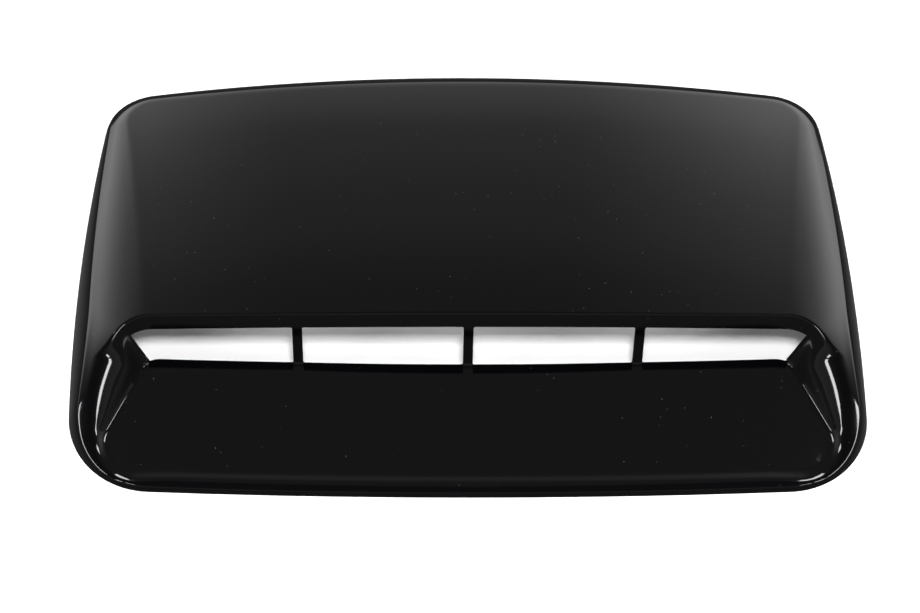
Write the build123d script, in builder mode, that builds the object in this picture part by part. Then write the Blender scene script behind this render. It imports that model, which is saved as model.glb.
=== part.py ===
from build123d import *
import os
from math import asin, atan2, cos, degrees, hypot, radians, sin, sqrt, tan

os.makedirs("parts", exist_ok=True)

# Bonnet scoop, moulded as one shell, in millimetres.
# X runs across the car and +Y to its rear, and the base edge lies on z = 0.
# Depths run back from the middle of the front edge, and heights up from the base.
scoop_width = 650.0
scoop_length = 415.0
wall = 3.0

# Plan of the base edge: four long arcs with rounded corners
widest_depth = 160.0
side_radius = 1680.0
front_bow = 8.25
rear_bow = 27.3
front_corner_radius = 71.0
rear_corner_radius = 48.0

# Hood: a long arc from the crest to the rear edge, crowned across the car, with drafted sides
crest_depth = 119.0
crest_height = 77.0
crest_slope = 5.07
crown_drop = 11.75
rear_edge_height = 12.0
side_draft = 25.0
shoulder_radius = 6.0

# Top of the cheeks: nearly level along the front edge, then swept up to the crest of the hood
front_edge_height = 7.0
front_rise = 8.0
valley_depth = 29.4
valley_sweep = 25.4
crest_radius = 12.0

# Dish in front of the mouth: its plan on the base plane, its leaning walls and its rising tray
cheek_back_width = 71.0
cheek_turn = 31.0
cheek_lean = 24.5
dish_front_depth = 25.0
dish_front_lean = 60.0
dish_back_depth = 101.5
dish_back_bow = 4.5
dish_back_lean = 17.0
dish_front_corner_radius = 18.0
dish_front_corner_lean = 45.0
dish_rear_corner_radius = 9.0
dish_rear_corner_lean = 20.0
tray_front_height = 5.5
tray_back_height = 21.5
tray_foot_radius = 8.0

# Mouth: four windows cut through the back wall of the dish, with three bars left between them
window_top_height = 62.0
window_sill_height = 20.7
window_margin = 67.5
window_end_lean = 19.0
window_corner_radius = 3.5
window_cut_depth = 88.0
sill_dip = 0.8
bar_width = 7.8
bar_spacing = 137.0
bar_count = 3

# Return flange that lies on the bonnet, with six screw holes
flange_width = 16.0
flange_thickness = 3.0
hole_diameter = 5.0
hole_inset = 10.0
side_hole_pitch = 180.0
rear_hole_pitch = 300.0

# Room by which cutting and trimming bodies stand clear of the shell
spare = 60.0

half_width = scoop_width / 2
dish_back_half_width = half_width - cheek_back_width
window_half_width = half_width - window_margin
front_y = -scoop_length / 2
rear_y = scoop_length / 2
widest_y = front_y + widest_depth
crest_y = front_y + crest_depth
form_height = crest_height + spare


def bow_radius(half_chord, bow):
    """Radius of an arc that stands out by a bow over half a chord."""
    return (half_chord**2 + bow**2) / 2 / bow


front_radius = bow_radius(half_width, front_bow)
rear_radius = bow_radius(half_width, rear_bow)
crown_radius = bow_radius(half_width, crown_drop)
dish_back_radius = bow_radius(dish_back_half_width, dish_back_bow)

# Hood arc through the crest and the rear edge, and the axis that it turns about for its crown
hood_run = scoop_length - crest_depth
hood_drop = crest_height - rear_edge_height
hood_half_turn = atan2(hood_drop, hood_run) - radians(crest_slope)
hood_radius = hypot(hood_run, hood_drop) / 2 / sin(hood_half_turn)
hood_centre_y = crest_y - hood_radius * sin(radians(crest_slope))
hood_centre_z = crest_height - hood_radius * cos(radians(crest_slope))
crown_axis_z = crest_height - crown_radius
crown_axis = Axis((0, 0, crown_axis_z), (0, 1, 0))
crown_half_arc = asin((half_width + spare) / crown_radius)
crown_start = Plane(
    origin=(0, 0, crown_axis_z),
    x_dir=(0, 1, 0),
    z_dir=(cos(crown_half_arc), 0, sin(crown_half_arc)),
)

# Two lines of the cheeks' top, seen from the side, which meet in a valley and are swept together there
level_angle = radians(front_rise)
level_start_y = front_y + front_edge_height * tan(radians(side_draft))
valley_y = front_y + valley_depth
valley_z = front_edge_height + (valley_y - level_start_y) * tan(level_angle)
rake_angle = atan2(crest_height - valley_z, crest_y - valley_y)
valley_radius = valley_sweep / tan((rake_angle - level_angle) / 2)
rake_plane = Plane(
    origin=(0, crest_y, crest_height),
    x_dir=(1, 0, 0),
    z_dir=(0, -sin(rake_angle), cos(rake_angle)),
)

# Plane of the tray, which rises from the front of the dish to the foot of the back wall
dish_back_y = front_y + dish_back_depth
tray_front_y = front_y + dish_front_depth - tray_front_height * tan(radians(dish_front_lean))
tray_back_y = dish_back_y + tray_back_height * tan(radians(dish_back_lean))
tray_slope = atan2(tray_back_height - tray_front_height, tray_back_y - tray_front_y)
tray_plane = Plane(
    origin=(0, tray_back_y, tray_back_height),
    x_dir=(1, 0, 0),
    z_dir=(0, -sin(tray_slope), cos(tray_slope)),
)


def base_outline(inset):
    """Plan of the base edge, set in by a distance."""
    with BuildSketch() as outline:
        with Locations((half_width - side_radius, widest_y)):
            Circle(side_radius - inset)
        with Locations((side_radius - half_width, widest_y)):
            Circle(side_radius - inset, mode=Mode.INTERSECT)
        with Locations((0, front_y + front_radius)):
            Circle(front_radius - inset, mode=Mode.INTERSECT)
        with Locations((0, rear_y - rear_radius)):
            Circle(rear_radius - inset, mode=Mode.INTERSECT)
        fillet(outline.vertices().sort_by(Axis.Y)[:2], front_corner_radius - inset)
        fillet(outline.vertices().sort_by(Axis.Y)[-2:], rear_corner_radius - inset)
    return outline.sketch


def over_cheeks(inset):
    """Side view of the space over the cheeks, from the front to the crest, let down by a distance."""
    half_bend = (rake_angle - level_angle) / 2
    middle = (rake_angle + level_angle) / 2
    foot_y = valley_y + inset / cos(half_bend) * sin(middle)
    foot_z = valley_z - inset / cos(half_bend) * cos(middle)
    with BuildSketch(Plane.YZ) as space:
        with BuildLine():
            Polyline(
                (foot_y, foot_z),
                (foot_y + scoop_length * cos(rake_angle), foot_z + scoop_length * sin(rake_angle)),
                (foot_y - scoop_length, foot_z + scoop_length),
                (foot_y - scoop_length * cos(level_angle), foot_z - scoop_length * sin(level_angle)),
                close=True,
            )
        make_face()
        fillet(space.vertices().sort_by(Axis.Z)[1], valley_radius + inset)
    return space.sketch


def outside_form(inset):
    """The outside as a solid block, or the same block set in by a wall all over."""
    with BuildPart() as form:
        with BuildSketch(crown_start):
            with Locations((hood_centre_y, hood_centre_z - crown_axis_z)):
                Circle(hood_radius - inset)
            with Locations((0, crown_radius - crest_height)):
                Rectangle(scoop_length + spare, 2 * form_height, mode=Mode.INTERSECT)
        revolve(axis=crown_axis, revolution_arc=2 * degrees(crown_half_arc))
        extrude(over_cheeks(inset), amount=scoop_width, both=True, mode=Mode.SUBTRACT)
        extrude(
            base_outline(inset / cos(radians(side_draft))),
            amount=form_height,
            taper=side_draft,
            mode=Mode.INTERSECT,
        )
    return form.part


def rounded_outside():
    """The outside with its crest and its shoulder rounded."""
    with BuildPart() as form:
        add(outside_form(0))
        least_rise = (cos(rake_angle) + sin(radians(side_draft))) / 2
        raked_face = form.faces().filter_by(rake_plane)
        fillet(raked_face.edges().sort_by(Axis.Z)[-1], crest_radius)
        top_faces = form.faces().filter_by(lambda face: face.normal_at().Z > least_rise)
        top_loop = form.edges().filter_by(
            lambda edge: sum(edge in face.edges() for face in top_faces) == 1
        )
        fillet(top_loop, shoulder_radius)
    return form.part


def dish_outline(height, grow):
    """Plan of the dish's walls at a height, run on past the rim, grown by a distance."""
    side_spread = height * tan(radians(cheek_lean)) + grow / cos(radians(cheek_lean))
    back_spread = height * tan(radians(dish_back_lean)) + grow / cos(radians(dish_back_lean))
    front_spread = height * tan(radians(dish_front_lean)) + grow / cos(radians(dish_front_lean))
    front_corner_spread = height * tan(radians(dish_front_corner_lean)) + grow
    rear_corner_spread = height * tan(radians(dish_rear_corner_lean)) + grow
    back_half = dish_back_half_width + side_spread / cos(radians(cheek_turn))
    flare = tan(radians(cheek_turn))
    with BuildSketch(Plane.XY.offset(height)) as outline:
        with BuildLine():
            Polyline(
                (back_half - spare * flare, dish_back_y + spare),
                (back_half + scoop_length * flare, dish_back_y - scoop_length),
                (-back_half - scoop_length * flare, dish_back_y - scoop_length),
                (-back_half + spare * flare, dish_back_y + spare),
                close=True,
            )
        make_face()
        with Locations((0, front_y + front_radius)):
            Circle(front_radius - dish_front_depth + front_spread, mode=Mode.INTERSECT)
        with Locations((0, dish_back_y + dish_back_radius)):
            Circle(dish_back_radius - back_spread, mode=Mode.SUBTRACT)
        fillet(outline.vertices().sort_by(Axis.Y)[:2], dish_front_corner_radius + front_corner_spread)
        fillet(outline.vertices().sort_by(Axis.Y)[-2:], dish_rear_corner_radius + rear_corner_spread)
    return outline.sketch


def dish_form(grow):
    """The space of the dish as a solid, or the same solid grown by a wall all over."""
    with BuildPart() as form:
        loft([dish_outline(0, grow).face(), dish_outline(form_height, grow).face()], ruled=True)
        split(bisect_by=tray_plane.offset(-grow), keep=Keep.TOP)
    return form.part


# The dish with a rounded foot all round its tray
with BuildPart() as rounded_dish:
    add(dish_form(0))
    fillet(rounded_dish.faces().filter_by(tray_plane).edges(), tray_foot_radius)

# Space under the hood and the tray, open at the base inside the flange
with BuildPart() as hollow:
    add(outside_form(wall))
    add(dish_form(wall), mode=Mode.SUBTRACT)
    split(bisect_by=Plane.XZ.offset(-front_y - flange_width), keep=Keep.BOTTOM)
    extrude(base_outline(0), amount=flange_thickness, mode=Mode.SUBTRACT)
    extrude(base_outline(flange_width), amount=flange_thickness)

# Windows of the mouth, seen from the front, with a shallow dip in the sill across the middle
window_rise = window_top_height - window_sill_height
window_top_half_width = window_half_width + window_rise * tan(radians(window_end_lean))
dip_radius = bar_spacing**2 / 2 / sill_dip
with BuildSketch(Plane.XZ) as sill_scoop:
    with Locations((0, window_sill_height)):
        Rectangle(2 * bar_spacing, sill_dip, align=(Align.CENTER, Align.MAX))
    with Locations((0, window_sill_height - sill_dip + dip_radius)):
        Circle(dip_radius, mode=Mode.INTERSECT)
with BuildSketch(Plane.XZ) as windows:
    with BuildLine():
        Polyline(
            (-window_half_width, window_sill_height),
            (window_half_width, window_sill_height),
            (window_top_half_width, window_top_height),
            (-window_top_half_width, window_top_height),
            close=True,
        )
    make_face()
    with Locations((0, window_top_height - crown_radius)):
        Circle(crown_radius, mode=Mode.INTERSECT)
    add(sill_scoop.sketch)
    with GridLocations(bar_spacing, 0, bar_count, 1):
        Rectangle(bar_width, 2 * form_height, mode=Mode.SUBTRACT)
    fillet(windows.vertices(), window_corner_radius)

# Screw holes: four on the sides and two at the rear, a set distance in from the base edge
side_hole_x = half_width - side_radius - hole_inset
side_hole_x += sqrt(side_radius**2 - (side_hole_pitch / 2) ** 2)
rear_hole_y = rear_y - rear_radius - hole_inset
rear_hole_y += sqrt(rear_radius**2 - (rear_hole_pitch / 2) ** 2)
with BuildSketch() as screw_holes:
    with Locations((0, widest_y)):
        with GridLocations(2 * side_hole_x, side_hole_pitch, 2, 2):
            Circle(hole_diameter / 2)
    with Locations((0, rear_hole_y)):
        with GridLocations(rear_hole_pitch, 0, 2, 1):
            Circle(hole_diameter / 2)

# The moulding: outside, dish with its crisp rim, hollow, windows and holes
with BuildPart() as scoop_moulding:
    add(rounded_outside())
    add(rounded_dish.part, mode=Mode.SUBTRACT)
    add(hollow.part, mode=Mode.SUBTRACT)
    window_cut = windows.sketch.moved(Location((0, dish_back_y + spare, 0)))
    extrude(
        window_cut,
        amount=dish_back_depth + spare - window_cut_depth,
        mode=Mode.SUBTRACT,
    )
    extrude(screw_holes.sketch, amount=flange_thickness, mode=Mode.SUBTRACT)

scoop_moulding.part.label = "scoop_moulding"
export_step(scoop_moulding.part, "parts/scoop_moulding.step")
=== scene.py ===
from math import atan2, cos, hypot, pi, radians, sin, tan

import bmesh
import bpy
import numpy as np
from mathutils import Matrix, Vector


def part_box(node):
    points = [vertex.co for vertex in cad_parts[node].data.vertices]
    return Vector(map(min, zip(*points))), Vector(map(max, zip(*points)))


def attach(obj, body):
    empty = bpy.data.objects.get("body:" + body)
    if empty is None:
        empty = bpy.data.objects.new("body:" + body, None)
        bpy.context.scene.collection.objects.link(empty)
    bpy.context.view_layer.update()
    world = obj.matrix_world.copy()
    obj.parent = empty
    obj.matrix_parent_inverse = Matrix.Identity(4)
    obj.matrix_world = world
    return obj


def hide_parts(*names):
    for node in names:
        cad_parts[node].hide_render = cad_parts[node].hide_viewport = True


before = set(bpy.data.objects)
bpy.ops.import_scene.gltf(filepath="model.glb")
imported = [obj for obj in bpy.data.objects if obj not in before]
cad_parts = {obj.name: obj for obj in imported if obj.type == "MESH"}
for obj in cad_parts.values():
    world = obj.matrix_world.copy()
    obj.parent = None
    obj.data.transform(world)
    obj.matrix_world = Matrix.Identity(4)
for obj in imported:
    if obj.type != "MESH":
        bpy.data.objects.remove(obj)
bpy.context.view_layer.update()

# Scoop moulding: the one piece of a bonnet scoop, injection moulded in black ABS and polished by its mould.
# A hood with swept cheeks rolls over into a dish with a rising tray, and four windows stand at its back.
# The shell is about 3 mm thick and open below, with a return flange that is screwed to the bonnet.

# Sizes are in millimetres, depths run back from the middle of the front edge, and heights up from the base
metre = 1000.0
scoop_low, scoop_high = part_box("scoop_moulding")
scoop_width = metre * (scoop_high[0] - scoop_low[0])
scoop_length = metre * (scoop_high[1] - scoop_low[1])
front_end = metre * scoop_low[1]
half_width = scoop_width / 2
wall = 3.0

# Plan of the base edge
widest_depth = 160.0
side_radius = 1680.0
front_bow = 8.25
rear_bow = 27.3
front_corner_radius = 71.0
rear_corner_radius = 48.0
side_draft = radians(25.0)

# Hood and cheeks
crest_depth = 119.0
crest_height = 77.0
crest_slope = radians(5.07)
crown_drop = 11.75
rear_edge_height = 12.0
front_edge_height = 7.0
front_rise = radians(8.0)
valley_depth = 29.4
valley_sweep = 25.4

# Dish and tray
dish_back_half_width = half_width - 71.0
cheek_turn = radians(31.0)
cheek_lean = radians(24.5)
dish_front_depth = 25.0
dish_front_lean = radians(60.0)
dish_back_depth = 101.5
dish_back_bow = 4.5
dish_back_lean = radians(17.0)
dish_front_corner = 18.0
dish_front_corner_lean = radians(45.0)
dish_rear_corner = 9.0
dish_rear_corner_lean = radians(20.0)
dish_least_corner = 0.5
tray_front_height = 5.5
tray_back_height = 21.5

# Flanks, which stand up steeply, bend over and run softly into the top, in shares of the height beside them
flank_draft = radians(14.0)
flank_slope = 0.55
flank_reach = 0.7
flank_bend = 0.49
flank_soft_bend = 0.155
flank_bend_end = 0.33
flank_soft_end = 1.05
least_height = 2.0

# Heights over which faces are rolled into each other
crest_roll = 3.5
crest_side_roll = 30.0
crest_sides = (262.0, 305.0)
foot_roll = 3.5
back_foot_roll = 1.2
back_foot_run = 14.0
rim_roll = 3.0
corner_rim_roll = 8.0
corner_depths = (45.0, 80.0)
brow_roll = 0.5
brow_drop = 0.11
brow_clear = 40.0
brow_sides = (235.0, 282.0)
brow_depths = (98.0, 128.0)

# Windows, flange and screw holes
window_top_height = 62.0
window_sill_height = 20.7
window_half_width = half_width - 67.5
window_end_lean = radians(19.0)
window_corner_radius = 1.5
window_cut_depth = 88.0
window_cut_run = 73.5
sill_dip = 0.8
bar_width = 7.8
bar_spacing = 137.0
flange_width = 16.0
flange_thickness = 3.0
lip_width = 24.0
lip_slope = 2.0
hole_diameter = 5.0
hole_inset = 10.0
side_hole_pitch = 180.0
rear_hole_pitch = 300.0


def bow_radius(half_chord, bow):
    return (half_chord**2 + bow**2) / 2 / bow


front_radius = bow_radius(half_width, front_bow)
rear_radius = bow_radius(half_width, rear_bow)
crown_radius = bow_radius(half_width, crown_drop)
dish_back_radius = bow_radius(dish_back_half_width, dish_back_bow)

side_centre = np.array([half_width - side_radius, widest_depth])
front_centre = np.array([0.0, front_radius])
rear_centre = np.array([0.0, scoop_length - rear_radius])
back_wall_centre = np.array([0.0, dish_back_depth + dish_back_radius])


def between(centre_a, radius_a, centre_b, radius_b, ahead):
    """Point at two distances from two centres, on the side of the larger x."""
    gap = centre_b - centre_a
    span = np.hypot(*gap)
    along = (radius_a**2 - radius_b**2 + span**2) / 2 / span
    across = np.sqrt(radius_a**2 - along**2)
    unit = gap / span
    turned = np.array([-unit[1], unit[0]]) * ahead
    return centre_a + along * unit + across * turned


front_corner_centre = between(
    side_centre, side_radius - front_corner_radius, front_centre, front_radius - front_corner_radius, -1
)
rear_corner_centre = between(
    side_centre, side_radius - rear_corner_radius, rear_centre, rear_radius - rear_corner_radius, 1
)


def unit(vector):
    return vector / np.hypot(*vector)


def in_corner(x, d, centre_x, centre_d, first, second):
    """Whether points lie in a rounded corner, between the two normals that leave its centre."""
    away_x, away_d = x - centre_x, d - centre_d
    turn = first[0] * second[1] - first[1] * second[0]
    along_first = (away_x * second[1] - away_d * second[0]) / turn
    along_second = (first[0] * away_d - first[1] * away_x) / turn
    return (along_first > 0) & (along_second > 0), np.hypot(away_x, away_d)


def base_inset(x, d):
    """How far points of the plan lie inside the base edge."""
    x = np.abs(x)
    inset = side_radius - np.hypot(x - side_centre[0], d - side_centre[1])
    inset = np.minimum(inset, front_radius - np.hypot(x, d - front_centre[1]))
    inset = np.minimum(inset, rear_radius - np.hypot(x, d - rear_centre[1]))
    corners = (
        (front_corner_centre, front_corner_radius, front_centre),
        (rear_corner_centre, rear_corner_radius, rear_centre),
    )
    for centre, radius, end_centre in corners:
        inside, away = in_corner(
            x, d, centre[0], centre[1], unit(centre - side_centre), unit(centre - end_centre)
        )
        inset = np.where(inside, radius - away, inset)
    return inset


hood_run = scoop_length - crest_depth
hood_drop = crest_height - rear_edge_height
hood_half_turn = atan2(hood_drop, hood_run) - crest_slope
hood_radius = hypot(hood_run, hood_drop) / 2 / sin(hood_half_turn)
hood_centre_d = crest_depth - hood_radius * sin(crest_slope)
hood_centre_z = crest_height - hood_radius * cos(crest_slope)
crown_axis_z = crest_height - crown_radius
level_start = front_edge_height * tan(side_draft)
valley_height = front_edge_height + (valley_depth - level_start) * tan(front_rise)
rake = atan2(crest_height - valley_height, crest_depth - valley_depth)
valley_radius = valley_sweep / tan((rake - front_rise) / 2)
tray_front = dish_front_depth - tray_front_height * tan(dish_front_lean)
tray_back = dish_back_depth + tray_back_height * tan(dish_back_lean)
tray_rise = (tray_back_height - tray_front_height) / (tray_back - tray_front)


def hood(x, d, inset):
    """Height of the crowned hood, let down by a distance."""
    arc = np.sqrt((hood_radius - inset) ** 2 - (d - hood_centre_d) ** 2)
    return crown_axis_z + np.sqrt((hood_centre_z + arc - crown_axis_z) ** 2 - x**2)


def cheek(d, inset):
    """Height of the cheeks' top: level at the front, swept up to the crest, let down by a distance."""
    half_bend, middle = (rake - front_rise) / 2, (rake + front_rise) / 2
    foot_d = valley_depth + inset / cos(half_bend) * sin(middle)
    foot_z = valley_height - inset / cos(half_bend) * cos(middle)
    sweep = (valley_radius + inset) * tan(half_bend)
    start = foot_d - sweep * cos(front_rise)
    end = foot_d + sweep * cos(rake)
    centre_d = start - (valley_radius + inset) * sin(front_rise)
    centre_z = foot_z - sweep * sin(front_rise) + (valley_radius + inset) * cos(front_rise)
    along = np.clip(d, start, end)
    swept = centre_z - np.sqrt((valley_radius + inset) ** 2 - (along - centre_d) ** 2)
    straight = np.where(d < start, (d - start) * tan(front_rise), (d - end) * tan(rake))
    return swept + np.where((d < start) | (d > end), straight, 0.0)


def outside_dish(x, d, z, grow):
    """How far points of the plan lie outside the dish at a height, with its walls moved out by a distance."""
    x = np.abs(x)
    side_spread = z * tan(cheek_lean) + grow / cos(cheek_lean)
    back = dish_back_radius - z * tan(dish_back_lean) - grow / cos(dish_back_lean)
    front = front_radius - dish_front_depth + z * tan(dish_front_lean) + grow / cos(dish_front_lean)
    normal = np.array([cos(cheek_turn), sin(cheek_turn)])
    ahead = np.array([sin(cheek_turn), -cos(cheek_turn)])
    side_x = dish_back_half_width + side_spread / cos(cheek_turn)
    outside = (x - side_x) * normal[0] + (d - dish_back_depth) * normal[1]
    outside = np.maximum(outside, np.hypot(x, d - front_centre[1]) - front)
    outside = np.maximum(outside, back - np.hypot(x, d - back_wall_centre[1]))
    front_corner = np.maximum(dish_front_corner + z * tan(dish_front_corner_lean), dish_least_corner) + grow
    rear_corner = np.maximum(dish_rear_corner + z * tan(dish_rear_corner_lean), dish_least_corner) + grow
    corners = ((front_corner, front_centre, front, 1), (rear_corner, back_wall_centre, back, -1))
    for radius, end_centre, end_radius, side in corners:
        start_x = side_x - radius * normal[0]
        start_d = dish_back_depth - radius * normal[1] - end_centre[1]
        reach = end_radius - side * radius
        middle = start_x * ahead[0] + start_d * ahead[1]
        step = -middle + np.sqrt(np.maximum(middle**2 - start_x**2 - start_d**2 + reach**2, 0.0))
        centre_x = start_x + step * ahead[0]
        centre_d = start_d + step * ahead[1] + end_centre[1]
        end = np.array([centre_x, centre_d - end_centre[1]]) * side
        end = end / np.hypot(*end)
        inside, away = in_corner(x, d, centre_x, centre_d, normal, end)
        outside = np.where(inside, away - radius, outside)
    return outside


lowest_wall, highest_wall = -40.0, 160.0
halvings = 40


def dish_wall(x, d, grow):
    """Height of the dish's walls over points of the plan."""
    low, high = np.full(np.shape(x), lowest_wall), np.full(np.shape(x), highest_wall)
    for _ in range(halvings):
        middle = (low + high) / 2
        outside = outside_dish(x, d, middle, grow) > 0
        low, high = np.where(outside, middle, low), np.where(outside, high, middle)
    return (low + high) / 2


def tray(d, inset):
    return tray_back_height + (d - tray_back) * tray_rise - inset * hypot(1, tray_rise)


def roll_under(a, b, height):
    """The lower of two faces, rolled into each other over a height."""
    near = np.maximum(height - np.abs(a - b), 0.0) / height
    return np.minimum(a, b) - near**2 * height / 4


def roll_over(a, b, height):
    """The upper of two faces, rolled into each other over a height."""
    return -roll_under(-a, -b, height)


def flank(inset, top):
    """Height of a flank at an inset from the base edge, up to the top beside it."""
    height = np.maximum(top, least_height)
    slope = top - flank_slope * (flank_reach * height - inset)
    side = roll_under(inset / tan(flank_draft), slope, flank_bend * height)
    return roll_under(side, top, flank_soft_bend * height)


def ease(value, start, end):
    """A share that rises smoothly from none at one value to all at another."""
    share = np.clip((value - start) / (end - start), 0, 1)
    return share**2 * (3 - 2 * share)


def top_height(x, d):
    """Height of hood and cheeks, rolled into each other over the crest, and broadly so at the sides."""
    roll = crest_roll + (crest_side_roll - crest_roll) * ease(np.abs(x), *crest_sides)
    return roll_under(hood(x, d, 0), cheek(d, 0), roll)


def under_brow(wall_height, x, d):
    """The dish's sides rolled into a brow just under the cheeks' top. Elsewhere the brow is out of reach."""
    off = 1 - ease(np.abs(x), *brow_sides) * (1 - ease(d, *brow_depths))
    top = np.maximum(top_height(x, d), least_height)
    return roll_under(wall_height, top * (1 - brow_drop) + brow_clear * off, brow_roll * top)


def roll_of_rim(x, d):
    """Height over which the outside rolls into the dish, broader at the front corners."""
    corner = ease(np.abs(x), *brow_sides) * (1 - ease(d, *corner_depths))
    return rim_roll + (corner_rim_roll - rim_roll) * corner


def roll_of_foot(d):
    """Height over which the dish's walls roll into the tray, tight where the windows stand on it."""
    ahead = ease(tray_back - d, back_foot_run, 2 * back_foot_run)
    return back_foot_roll + (foot_roll - back_foot_roll) * ahead


def outer_skin(x, d):
    """Height of the outside before the dish is sunk into it."""
    return flank(base_inset(x, d), top_height(x, d))


def visible_skin(x, d):
    """Height of all that is seen from above."""
    dish = roll_over(dish_wall(x, d, 0), tray(d, 0), roll_of_foot(d))
    return roll_under(outer_skin(x, d), under_brow(dish, x, d), roll_of_rim(x, d))


def hollow_hood(x, d):
    """Height of the hidden side of hood, cheeks and flanks."""
    top = np.minimum(hood(x, d, wall), cheek(d, wall))
    return flank(base_inset(x, d) - wall / cos(flank_draft), top)


def hollow_roof(x, d):
    """Height of the hidden side, a wall below the visible one, with the front lip left solid."""
    dish = np.maximum(dish_wall(x, d, wall), tray(d, wall))
    behind_lip = flange_thickness + (d - lip_width) * lip_slope
    roof = np.minimum(hollow_hood(x, d), np.minimum(dish, behind_lip))
    return np.minimum(roof, visible_skin(x, d) - wall)


# The skin is laid on rays that run in from the base edge to a line along the middle of the tray
quarter_rays = 200
core_depth = 60.0
core_half_width = 256.0
dense_run = 100.0
sparse_share = 0.4
arc_points = 400
weld = 1e-7


def arc(centre, radius, start, end):
    """Points on an arc of the plan, from the direction of one vector to that of another."""
    first, last = atan2(start[1], start[0]), atan2(end[1], end[0])
    turn = np.linspace(first, last, arc_points)
    return np.column_stack((centre[0] + radius * np.cos(turn), centre[1] + radius * np.sin(turn)))


half_edge = np.vstack((
    arc(front_centre, front_radius, (0, -1), front_corner_centre - front_centre),
    arc(
        front_corner_centre,
        front_corner_radius,
        front_corner_centre - front_centre,
        front_corner_centre - side_centre,
    ),
    arc(side_centre, side_radius, front_corner_centre - side_centre, rear_corner_centre - side_centre),
    arc(
        rear_corner_centre,
        rear_corner_radius,
        rear_corner_centre - side_centre,
        rear_corner_centre - rear_centre,
    ),
    arc(rear_centre, rear_radius, rear_corner_centre - rear_centre, (0, 1)),
))
runs = np.append(0, np.cumsum(np.hypot(*np.diff(half_edge, axis=0).T)))
beside_core = runs[np.argmax(half_edge[:, 1] > core_depth)]
weight = np.where(runs < beside_core + dense_run, 1.0, sparse_share)
weighted = np.append(0, np.cumsum(np.diff(runs) * weight[1:]))
core_weight = np.interp(beside_core, runs, weighted)
stops = np.append(
    np.linspace(0, core_weight, quarter_rays + 1),
    np.linspace(core_weight, weighted[-1], quarter_rays + 1)[1:],
)
edge_x = np.interp(stops, weighted, half_edge[:, 0])
edge_d = np.interp(stops, weighted, half_edge[:, 1])
edge_x[-1] = 0.0
steps = np.append(np.arange(quarter_rays + 1), np.arange(quarter_rays - 1, -1, -1))
edge = np.vstack((
    np.column_stack((edge_x, edge_d)),
    np.column_stack((-edge_x, edge_d))[-2:0:-1],
))
core_step = np.append(steps, -steps[-2:0:-1])
core = np.column_stack((
    core_half_width * core_step / quarter_rays,
    np.full(len(core_step), core_depth),
))
ray_length = np.hypot(*(core - edge).T)


def along(t):
    """Plan of the points at a share of each ray."""
    return edge[:, 0] + t * (core[:, 0] - edge[:, 0]), edge[:, 1] + t * (core[:, 1] - edge[:, 1])


def crossing(rising):
    """Share of each ray at which a function of the plan turns positive."""
    low, high = np.zeros(len(edge)), np.ones(len(edge))
    for _ in range(halvings):
        middle = (low + high) / 2
        beyond = rising(*along(middle)) > 0
        low, high = np.where(beyond, low, middle), np.where(beyond, middle, high)
    return (low + high) / 2


def stretch(stops_and_rows):
    """Rows of shares between stops along the rays, with a number of rows for each stretch."""
    rows = [stops_and_rows[0][0]]
    for (start, _), (end, count) in zip(stops_and_rows, stops_and_rows[1:]):
        rows += [start + (end - start) * step / count for step in range(1, count + 1)]
    return rows


def closed_mesh(name, loops):
    """A closed mesh through loops of points on the rays, the first and the last of them on the core line."""
    count = len(edge)
    line = np.arange(-quarter_rays, quarter_rays + 1)
    ends = []
    for loop in (loops[0], loops[-1]):
        heights = dict(zip(core_step, loop[2]))
        ends.append([(core_half_width * step / quarter_rays, core_depth, heights[step]) for step in line])
    points = np.vstack(ends + [np.column_stack(loop) for loop in loops[1:-1]])
    points[:, 1] += front_end
    on_line = core_step + quarter_rays
    rows = [2 * len(line) + count * row + np.arange(count) for row in range(len(loops) - 2)]
    rows = [on_line] + rows + [len(line) + on_line]
    faces = []
    for row, next_row in zip(rows, rows[1:]):
        faces += np.column_stack((row, np.roll(row, -1), np.roll(next_row, -1), next_row)).tolist()
    mesh = bpy.data.meshes.new(name)
    mesh.from_pydata((points / metre).tolist(), [], faces)
    form = bmesh.new()
    form.from_mesh(mesh)
    bmesh.ops.remove_doubles(form, verts=form.verts, dist=weld)
    form.to_mesh(mesh)
    form.free()
    piece = bpy.data.objects.new(name, mesh)
    bpy.context.scene.collection.objects.link(piece)
    return piece


# Rows of the skin lie closest where it bends, within limits that are shares of the stretch beside the bend
bend_limit = 0.5
soft_limit = 0.85
rim_reach_per_roll = 1.6
rim_limit = 0.45
foot_reach_out, foot_limit_out = 5.0, 0.4
foot_reach_in, foot_limit_in = 9.0, 0.5
rim = crossing(lambda x, d: outer_skin(x, d) - under_brow(dish_wall(x, d, 0), x, d))
foot = crossing(lambda x, d: -outside_dish(x, d, tray(d, 0), 0))
bend = crossing(lambda x, d: base_inset(x, d) - flank_bend_end * top_height(x, d))
soft = crossing(lambda x, d: base_inset(x, d) - flank_soft_end * top_height(x, d))
bend = np.minimum(bend, bend_limit * rim)
rim_reach = rim_reach_per_roll * roll_of_rim(*along(rim)) / ray_length
rim_out = rim - np.minimum(rim_reach, rim_limit * (rim - bend))
soft = np.minimum(soft, bend + soft_limit * (rim_out - bend))
rim_in = rim + np.minimum(rim_reach, rim_limit * (foot - rim))
foot_out = foot - np.minimum(foot_reach_out / ray_length, foot_limit_out * (foot - rim))
foot_in = foot + np.minimum(foot_reach_in / ray_length, foot_limit_in * (1 - foot))
skin_rows = stretch([
    (np.zeros(len(edge)), 0),
    (bend, 14),
    (soft, 14),
    (rim_out, 8),
    (rim_in, 10),
    (foot_out, 12),
    (foot_in, 9),
    (np.ones(len(edge)), 5),
])
skin = []
for row in skin_rows:
    x, d = along(row)
    skin.append((x, d, np.maximum(visible_skin(x, d), 0.0)))
skin[0] = (skin[0][0], skin[0][1], np.zeros(len(edge)))

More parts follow.
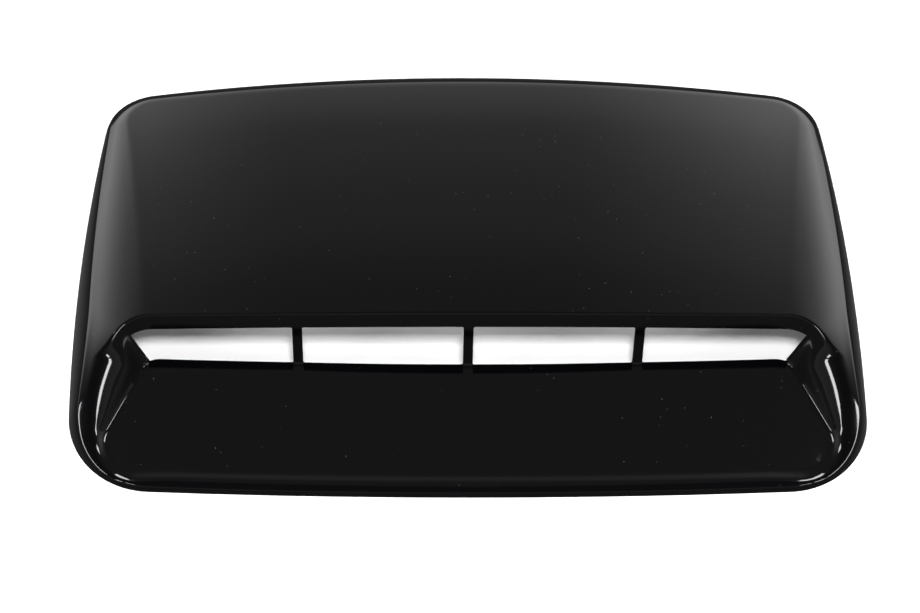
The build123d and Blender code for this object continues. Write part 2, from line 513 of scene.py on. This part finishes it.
# The hollow lies on the same rays. Where its edge and that of the flange's opening cross, they share a point
least_step = 0.004
hollow_edge = crossing(lambda x, d: hollow_roof(x, d) - flange_thickness)
opening_edge = crossing(lambda x, d: base_inset(x, d) - flange_width)
lip = hollow_edge - opening_edge
lip_end = np.flatnonzero((lip < 0) != (np.roll(lip, -1) < 0))
hollow_edge[lip_end] = opening_edge[lip_end]
hollow_rim = crossing(lambda x, d: -outside_dish(x, d, hollow_hood(x, d), wall))
hollow_shoulder = crossing(lambda x, d: base_inset(x, d) - wall - flank_bend_end * top_height(x, d))
hollow_foot = crossing(lambda x, d: -outside_dish(x, d, tray(d, wall), wall))
hollow_shoulder = np.maximum(np.minimum(hollow_shoulder, hollow_rim - least_step), hollow_edge + least_step)
hollow_rim = np.maximum(hollow_rim, hollow_shoulder + least_step)
hollow_foot = np.maximum(hollow_foot, hollow_rim + least_step)
hollow_rows = stretch([
    (hollow_edge, 0),
    (hollow_shoulder, 3),
    (hollow_rim, 10),
    (hollow_foot, 6),
    (np.ones(len(edge)), 3),
])
roof = []
for row in hollow_rows:
    x, d = along(row)
    roof.append((x, d, np.maximum(hollow_roof(x, d), flange_thickness)))
roof[0] = (roof[0][0], roof[0][1], np.full(len(edge), flange_thickness))
x, d = along(opening_edge)
opening = [(x, d, np.full(len(edge), height)) for height in (flange_thickness, 0.0)]
moulding = closed_mesh("scoop_moulding_skin", roof[::-1] + opening + skin)


# Windows of the mouth and screw holes, as cutting prisms with rounded corners
def prism(name, outlines, place):
    """Closed prisms between two planes, from outlines and a function that places their points."""
    form = bmesh.new()
    for outline in outlines:
        ends = [[form.verts.new(Vector(place(p, q, end)) / metre) for p, q in outline] for end in (0, 1)]
        form.faces.new(ends[0])
        form.faces.new(ends[1])
        for index in range(len(outline)):
            after = (index + 1) % len(outline)
            form.faces.new((ends[0][index], ends[0][after], ends[1][after], ends[1][index]))
    bmesh.ops.recalc_face_normals(form, faces=form.faces)
    mesh = bpy.data.meshes.new(name)
    form.to_mesh(mesh)
    form.free()
    piece = bpy.data.objects.new(name, mesh)
    bpy.context.scene.collection.objects.link(piece)
    return piece


def rounded(corners, radius, steps):
    """An outline with each corner rounded by a radius, or kept where its radius is none."""
    outline = []
    for index, (corner, round_it) in enumerate(corners):
        corner = Vector(corner)
        before = (Vector(corners[index - 1][0]) - corner).normalized()
        after = (Vector(corners[(index + 1) % len(corners)][0]) - corner).normalized()
        if not round_it:
            outline.append(tuple(corner))
            continue
        half = before.angle(after) / 2
        centre = corner + (before + after).normalized() * radius / sin(half)
        start = corner + before * radius / tan(half) - centre
        end = corner + after * radius / tan(half) - centre
        turn = start.angle_signed(end)
        for step in range(steps + 1):
            swung = turn * step / steps
            outline.append((
                centre.x + start.x * cos(swung) + start.y * sin(swung),
                centre.y - start.x * sin(swung) + start.y * cos(swung),
            ))
    return outline


def window_top(x):
    return window_top_height - x**2 / 2 / crown_radius


def window_sill(x):
    return window_sill_height - sill_dip * max(0.0, 1 - (x / bar_spacing) ** 2)


window_top_half_width = window_half_width + (window_top_height - window_sill_height) * tan(window_end_lean)
bay_ends = [
    (-window_half_width, -window_top_half_width),
    (-bar_spacing - bar_width / 2, -bar_spacing - bar_width / 2),
    (-bar_spacing + bar_width / 2, -bar_spacing + bar_width / 2),
    (-bar_width / 2, -bar_width / 2),
    (bar_width / 2, bar_width / 2),
    (bar_spacing - bar_width / 2, bar_spacing - bar_width / 2),
    (bar_spacing + bar_width / 2, bar_spacing + bar_width / 2),
    (window_half_width, window_top_half_width),
]
bow_steps = 8
corner_steps = 6
bays = []
for (sill_left, top_left), (sill_right, top_right) in zip(bay_ends[0::2], bay_ends[1::2]):
    bottom = np.linspace(sill_left, sill_right, bow_steps + 1)
    upper = np.linspace(top_right, top_left, bow_steps + 1)
    corners = [((x, window_sill(x)), step in (0, bow_steps)) for step, x in enumerate(bottom)]
    corners += [((x, window_top(x)), step in (0, bow_steps)) for step, x in enumerate(upper)]
    bays.append(rounded(corners, window_corner_radius, corner_steps))
windows = prism(
    "windows",
    bays,
    lambda x, z, end: (x, window_cut_depth + window_cut_run * end + front_end, z),
)
side_hole_x = half_width - hole_inset - side_radius
side_hole_x += np.sqrt(side_radius**2 - (side_hole_pitch / 2) ** 2)
rear_hole_d = scoop_length - hole_inset - rear_radius
rear_hole_d += np.sqrt(rear_radius**2 - (rear_hole_pitch / 2) ** 2)
hole_places = [(side * rear_hole_pitch / 2, rear_hole_d) for side in (-1, 1)]
for side in (-1, 1):
    for end in (-1, 1):
        hole_places.append((side * side_hole_x, widest_depth + end * side_hole_pitch / 2))
overrun = 2.0
hole_steps = 32
hole_turns = [2 * pi * step / hole_steps for step in range(hole_steps)]
hole_radius = hole_diameter / 2
hole_outlines = [
    [(x + hole_radius * cos(turn), d + hole_radius * sin(turn)) for turn in hole_turns]
    for x, d in hole_places
]
screw_holes = prism(
    "screw_holes",
    hole_outlines,
    lambda x, d, end: (x, d + front_end, (-overrun, flange_thickness + overrun)[end]),
)
for cutter in (windows, screw_holes):
    cut = moulding.modifiers.new(cutter.name, "BOOLEAN")
    cut.operation = "DIFFERENCE"
    cut.solver = "MANIFOLD"
    cut.object = cutter
graph = bpy.context.evaluated_depsgraph_get()
cut_mesh = bpy.data.meshes.new_from_object(moulding.evaluated_get(graph))
moulding.modifiers.clear()
moulding.data = cut_mesh
cut_mesh.name = "scoop_moulding_skin"
for cutter in (windows, screw_holes):
    bpy.data.objects.remove(cutter)
crease = radians(35.0)
cut_mesh.shade_smooth()
cut_mesh.set_sharp_from_angle(angle=crease)


def linear(hex_colour):
    """An sRGB hex colour as linear red, green, blue and alpha."""
    channels = [int(hex_colour[start : start + 2], 16) / 255 for start in (1, 3, 5)]
    return tuple(c / 12.92 if c <= 0.04045 else ((c + 0.055) / 1.055) ** 2.4 for c in channels) + (1.0,)


def add_node(tree, kind, links=(), **settings):
    """A node with its settings, and links from an output to one of its inputs by name or number."""
    node = tree.nodes.new(kind)
    for name, value in settings.items():
        if name.startswith("in_"):
            key = name[3:]
            node.inputs[int(key) if key.isdigit() else key.replace("_", " ")].default_value = value
        else:
            setattr(node, name, value)
    for output, key in links:
        tree.links.new(output, node.inputs[key])
    return node


# Gloss black ABS: a mirror-smooth moulded skin that is black itself and shows its surroundings.
# A few specks of dust lie on it, and the skin waves very slightly, as thin mouldings do.
gloss_black = bpy.data.materials.new("gloss_black_abs")
gloss_black.use_nodes = True
paint = gloss_black.node_tree
paint.nodes.clear()
speck_spacing = 6.5 / metre
speck_share = 0.065
wave_length = 60 / metre
wave_height = 0.3 / metre
place = add_node(paint, "ShaderNodeTexCoord")
specks = add_node(
    paint,
    "ShaderNodeTexVoronoi",
    [(place.outputs["Object"], "Vector")],
    in_Scale=1 / speck_spacing,
    in_Randomness=1.0,
)
speck_size = add_node(
    paint,
    "ShaderNodeSeparateColor",
    [(specks.outputs["Color"], "Color")],
)
speck_reach = add_node(
    paint,
    "ShaderNodeMath",
    [(speck_size.outputs["Red"], 0)],
    operation="MULTIPLY",
    in_1=speck_share,
)
speck = add_node(
    paint,
    "ShaderNodeMath",
    [(specks.outputs["Distance"], 0), (speck_reach.outputs[0], 1)],
    operation="LESS_THAN",
)
skin_colour = add_node(
    paint,
    "ShaderNodeMix",
    [(speck.outputs[0], "Factor")],
    data_type="RGBA",
    in_6=linear("#030304"),
    in_7=linear("#444444"),
)
waves = add_node(
    paint,
    "ShaderNodeTexNoise",
    [(place.outputs["Object"], "Vector")],
    in_Scale=1 / wave_length,
    in_Detail=1.0,
)
waving = add_node(
    paint,
    "ShaderNodeBump",
    [(waves.outputs["Fac"], "Height")],
    in_Strength=0.15,
    in_Distance=wave_height,
)
abs_skin = add_node(
    paint,
    "ShaderNodeBsdfPrincipled",
    [(skin_colour.outputs[2], "Base Color"), (waving.outputs["Normal"], "Normal")],
    in_Roughness=0.07,
    in_IOR=1.5,
)
add_node(paint, "ShaderNodeOutputMaterial", [(abs_skin.outputs[0], "Surface")])
cut_mesh.materials.clear()
cut_mesh.materials.append(gloss_black)
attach(moulding, "root")
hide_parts("scoop_moulding")

# Table: the plain white top that the scoop lies on. The camera sees it white, with the scoop's shadow, and
# under the scoop almost only by the lamps' light, its white glow turned down there as painted shade. The
# gloss shows it as a dim grey board, as in the photograph: a painted dim reflection of the white table.
table_half = 6.0
table_mesh = bpy.data.meshes.new("table")
table_corners = [(x * table_half, y * table_half, 0) for x, y in ((-1, -1), (1, -1), (1, 1), (-1, 1))]
table_mesh.from_pydata(table_corners, [], [(0, 1, 2, 3)])
table = bpy.data.objects.new("table", table_mesh)
bpy.context.scene.collection.objects.link(table)

# White board: plain and matt, so that it takes the scoop's soft shadow and mirrors nothing
white_board = bpy.data.materials.new("white_board")
white_board.use_nodes = True
board = white_board.node_tree
board.nodes.clear()
seen = add_node(board, "ShaderNodeLightPath")
in_gloss_or_glass = add_node(
    board,
    "ShaderNodeMath",
    [(seen.outputs["Is Glossy Ray"], 0), (seen.outputs["Is Transmission Ray"], 1)],
    operation="MAXIMUM",
)

# Shares of plain white in the gloss, and to the camera under the scoop, close around it and far off. The low
# shares in the gloss and under the scoop are a painted dim reflection and painted shade.
# How far off a spot lies is counted from the scoop's middle, in halves of its width or length
painted_dim_gloss_white, painted_shade_under_white, near_white, far_white = 0.04, 0.02, 0.25, 1.0
painted_dim_white_in_gloss = add_node(
    board, "ShaderNodeMath", [(in_gloss_or_glass.outputs[0], 0)], operation="MULTIPLY", in_1=painted_dim_gloss_white
)
spot = add_node(board, "ShaderNodeTexCoord")
spot_parts = add_node(board, "ShaderNodeSeparateXYZ", [(spot.outputs["Object"], 0)])
across = add_node(
    board,
    "ShaderNodeMath",
    [(spot_parts.outputs["X"], 0)],
    operation="MULTIPLY",
    in_1=2 * metre / scoop_width,
)
lengthwise = add_node(
    board,
    "ShaderNodeMath",
    [(spot_parts.outputs["Y"], 0)],
    operation="MULTIPLY",
    in_1=2 * metre / scoop_length,
)
across_size = add_node(board, "ShaderNodeMath", [(across.outputs[0], 0)], operation="ABSOLUTE")
lengthwise_size = add_node(board, "ShaderNodeMath", [(lengthwise.outputs[0], 0)], operation="ABSOLUTE")
from_scoop = add_node(
    board,
    "ShaderNodeMath",
    [(across_size.outputs[0], 0), (lengthwise_size.outputs[0], 1)],
    operation="MAXIMUM",
)
# Painted shade: the camera's white glow falls almost to none over the scoop's footprint, so the table is
# darker there
white_around_painted_shade = add_node(
    board,
    "ShaderNodeMapRange",
    [(from_scoop.outputs[0], "Value")],
    interpolation_type="SMOOTHSTEP",
    in_From_Min=0.9,
    in_From_Max=1.0,
    in_To_Min=painted_shade_under_white,
    in_To_Max=near_white,
)
white_far_off = add_node(
    board,
    "ShaderNodeMapRange",
    [(from_scoop.outputs[0], "Value")],
    interpolation_type="SMOOTHSTEP",
    in_From_Min=1.5,
    in_From_Max=5.0,
    in_To_Max=far_white - near_white,
)
white_to_eye = add_node(
    board, "ShaderNodeMath", [(white_around_painted_shade.outputs[0], 0), (white_far_off.outputs[0], 1)], operation="ADD"
)
white_share = add_node(
    board,
    "ShaderNodeMath",
    [(seen.outputs["Is Camera Ray"], 0), (white_to_eye.outputs[0], 1), (painted_dim_white_in_gloss.outputs[0], 2)],
    operation="MULTIPLY_ADD",
)
# Painted dim reflection: the board is dark grey to all rays but the camera's, so the gloss and bounced light
# see a dim board
board_colour_painted_dim = add_node(
    board,
    "ShaderNodeMix",
    [(seen.outputs["Is Camera Ray"], "Factor")],
    data_type="RGBA",
    in_6=linear("#363636"),
    in_7=linear("#ffffff"),
)
matt = add_node(board, "ShaderNodeBsdfDiffuse", [(board_colour_painted_dim.outputs[2], "Color")])
bright = add_node(board, "ShaderNodeEmission", in_Color=linear("#ffffff"), in_Strength=1.0)
board_mix = add_node(
    board,
    "ShaderNodeMixShader",
    [(white_share.outputs[0], 0), (matt.outputs[0], 1), (bright.outputs[0], 2)],
)
add_node(board, "ShaderNodeOutputMaterial", [(board_mix.outputs[0], "Surface")])
table_mesh.materials.append(white_board)

# Studio: pale walls that fade to a dim ceiling, with tall bright screens along the left and the right of the
# rear. The camera sees plain white behind the table, and the gloss sees walls and screens.
studio = bpy.data.worlds.new("studio")
studio.use_nodes = True
bpy.context.scene.world = studio
sky = studio.node_tree
sky.nodes.clear()
toward = add_node(sky, "ShaderNodeTexCoord")
toward_parts = add_node(sky, "ShaderNodeSeparateXYZ", [(toward.outputs["Generated"], 0)])
walls = add_node(sky, "ShaderNodeValToRGB", [(toward_parts.outputs["Z"], "Fac")])
screens = add_node(sky, "ShaderNodeValToRGB", [(toward_parts.outputs["Z"], "Fac")])
wall_heights = (0.0, 0.25, 0.36, 0.6, 0.7, 1.0)
wall_colours = ("#ffffff", "#d0d0d0", "#a2a2a2", "#8b8b8b", "#707070", "#696969")
screen_heights = (0.0, 0.14, 0.34, 0.5, 0.66, 0.85)
screen_colours = ("#909090", "#e9e9e9", "#cccccc", "#969696", "#676767", "#000000")
ramps = (
    (walls, list(zip(wall_heights, wall_colours))),
    (screens, list(zip(screen_heights, screen_colours))),
)
for ramp, stops_and_colours in ramps:
    elements = ramp.color_ramp.elements
    for (position, colour), element in zip(stops_and_colours, (elements[0], elements[1])):
        element.position = position
        element.color = linear(colour)
    for position, colour in stops_and_colours[2:]:
        elements.new(position).color = linear(colour)
aside = add_node(sky, "ShaderNodeMath", [(toward_parts.outputs["X"], 0)], operation="ABSOLUTE")
screen_edge = add_node(
    sky,
    "ShaderNodeMapRange",
    [(aside.outputs[0], "Value")],
    interpolation_type="SMOOTHSTEP",
    in_From_Min=0.08,
    in_From_Max=0.34,
    in_To_Max=1.9,
)
ahead_of_screens = add_node(
    sky,
    "ShaderNodeMapRange",
    [(toward_parts.outputs["Y"], "Value")],
    interpolation_type="SMOOTHSTEP",
    in_From_Min=-0.05,
    in_From_Max=0.5,
)
screen_light = add_node(
    sky,
    "ShaderNodeMath",
    [(screen_edge.outputs[0], 0), (ahead_of_screens.outputs[0], 1)],
    operation="MULTIPLY",
)
wall_light = add_node(
    sky,
    "ShaderNodeMapRange",
    [(toward_parts.outputs["Y"], "Value")],
    interpolation_type="SMOOTHSTEP",
    in_From_Min=-0.3,
    in_From_Max=0.15,
    in_To_Min=0.35,
)
from_walls = add_node(
    sky,
    "ShaderNodeBackground",
    [(walls.outputs["Color"], "Color"), (wall_light.outputs[0], "Strength")],
)
from_screens = add_node(
    sky,
    "ShaderNodeBackground",
    [(screens.outputs["Color"], "Color"), (screen_light.outputs[0], "Strength")],
)
around = add_node(sky, "ShaderNodeAddShader", [(from_walls.outputs[0], 0), (from_screens.outputs[0], 1)])
white = add_node(sky, "ShaderNodeBackground", in_Color=linear("#ffffff"), in_Strength=1.0)
sky_path = add_node(sky, "ShaderNodeLightPath")
sky_mix = add_node(
    sky,
    "ShaderNodeMixShader",
    [(sky_path.outputs["Is Camera Ray"], 0), (around.outputs[0], 1), (white.outputs[0], 2)],
)
add_node(sky, "ShaderNodeOutputWorld", [(sky_mix.outputs[0], "Surface")])

# Lamps: a soft one over the front lights the table through the mouth, and boxes and strips at the sides and
# front corners draw the highlights. Each has a turn from the rear, an elevation, a size and a power, and says
# whether the gloss shows it.
lamp_distance = 2.2
lamps = (
    ("front_lamp", 180, 66, (0.35, 0.35), 46.0, False),
    ("left_box", -92, 58, (0.5, 0.7), 16.0, True),
    ("right_box", 92, 58, (0.5, 0.7), 16.0, True),
    ("left_strip", -121, 24, (0.75, 0.3), 12.0, True),
    ("right_strip", 121, 24, (0.75, 0.3), 12.0, True),
    ("front_left_strip", -146, 22, (0.5, 0.25), 6.0, True),
    ("front_right_strip", 146, 22, (0.5, 0.25), 6.0, True),
)
for name, turn, elevation, size, power, mirrored in lamps:
    lamp = bpy.data.lights.new(name, "AREA")
    lamp.shape = "RECTANGLE"
    lamp.size, lamp.size_y = size
    lamp.energy = power
    soft_box = bpy.data.objects.new(name, lamp)
    level = cos(radians(elevation))
    aim = Vector((level * sin(radians(turn)), level * cos(radians(turn)), sin(radians(elevation))))
    soft_box.location = aim * lamp_distance
    soft_box.rotation_euler = aim.to_track_quat("Z", "Y").to_euler()
    soft_box.visible_glossy = mirrored
    bpy.context.scene.collection.objects.link(soft_box)

# Camera: above the front, a little to the left of the middle, and looking down, as the photograph was taken.
# Its focal length and centre are in pixels of the photograph.
photo_width = 920
focal_length_px = 2168.0
centre_px = (404.4, 306.5)
sensor = 36.0
eye_place = (-0.05126, -0.9877, 1.5342)
look_down = 58.0
eye = bpy.data.cameras.new("camera")
eye.sensor_width = sensor
eye.lens = focal_length_px / photo_width * sensor
eye.shift_x = (photo_width / 2 - centre_px[0]) / photo_width
camera = bpy.data.objects.new("camera", eye)
camera.location = eye_place
camera.rotation_euler = (radians(90 - look_down), 0, 0)
bpy.context.scene.collection.objects.link(camera)
bpy.context.scene.camera = camera
bpy.context.scene.view_settings.view_transform = "Standard"
